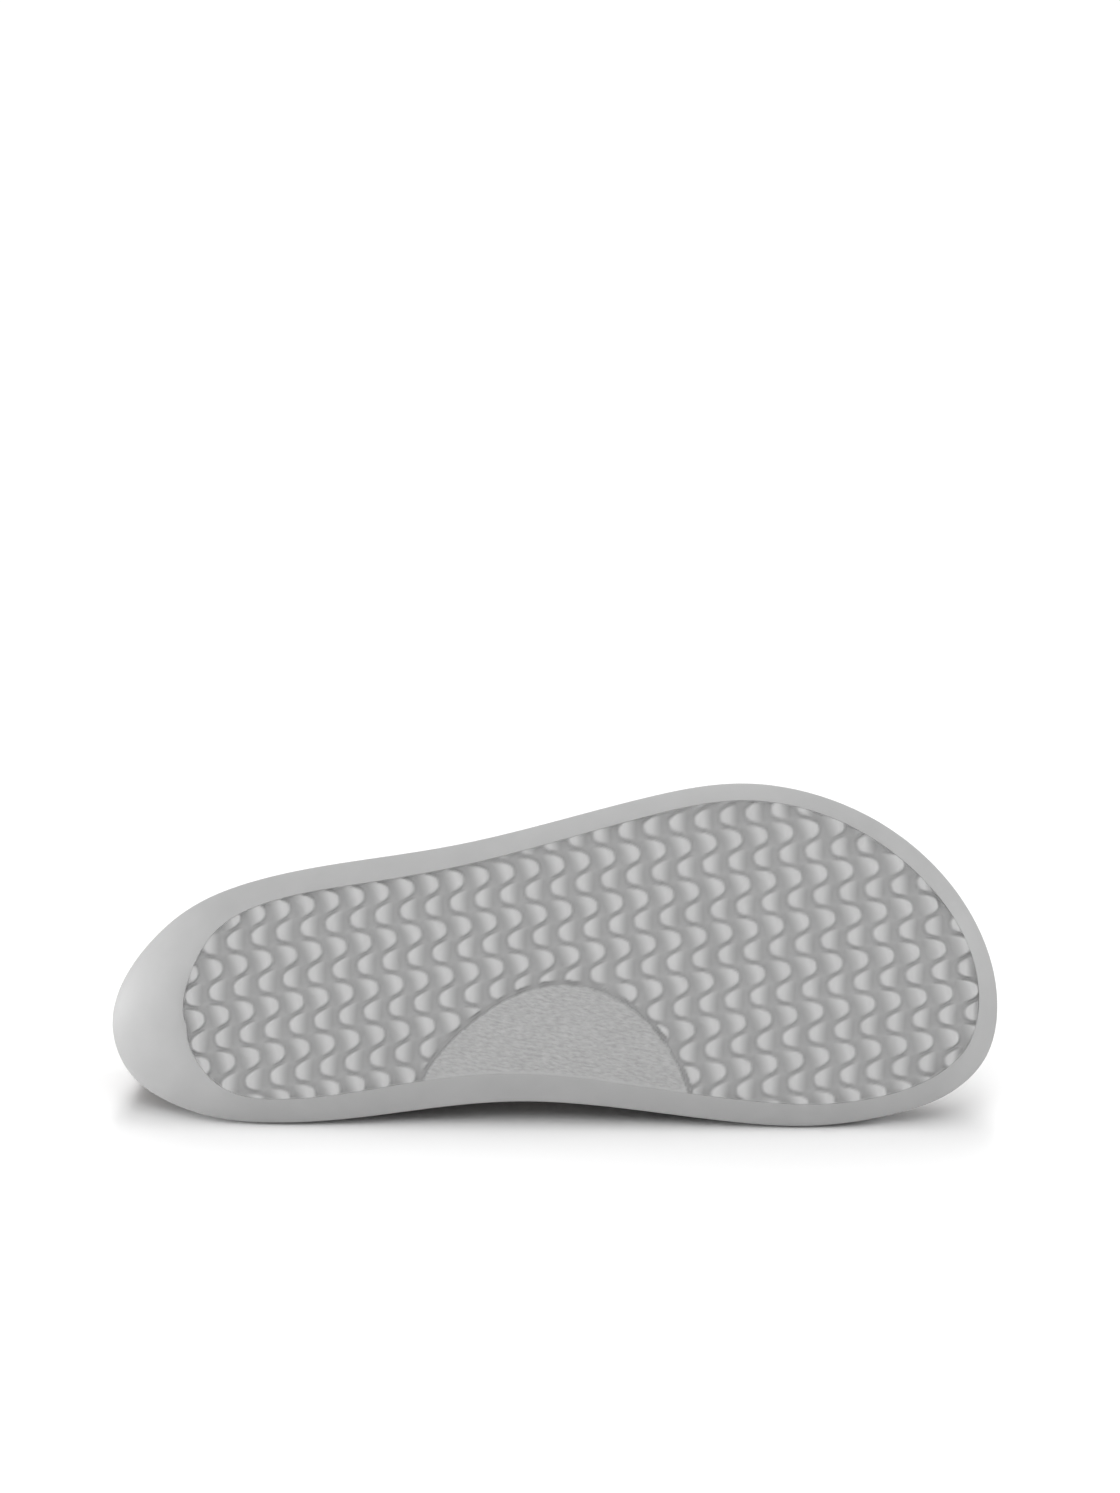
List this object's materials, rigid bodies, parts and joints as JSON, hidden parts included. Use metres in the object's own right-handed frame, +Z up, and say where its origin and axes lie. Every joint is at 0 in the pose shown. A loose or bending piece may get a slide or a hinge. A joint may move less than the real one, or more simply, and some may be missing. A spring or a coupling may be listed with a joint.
{
  "type": "leather shoe",
  "caption": "Low leather slip-on for the right foot with a flexible grey rubber cup sole, wavy tread and arch panel, lying on its medial side with the sole facing the viewer.",
  "frame": {"origin": "middle of the shoe's outer box, on the floor it lies on", "axes": "+X along the sole from heel to toe, +Y away from the sole towards the collar, +Z up from the floor"},
  "size_m": [0.26, 0.07, 0.0981],
  "materials": {
    "sole_rubber": "moulded light grey rubber, satin",
    "upper_leather": "smooth dark brown leather, soft sheen",
    "insole_leather": "natural lining leather, matt"
  },
  "bodies": {
    "root": {"outsole": "sole_rubber", "upper": "upper_leather", "insole": "insole_leather"}
  },
  "joints": []
}
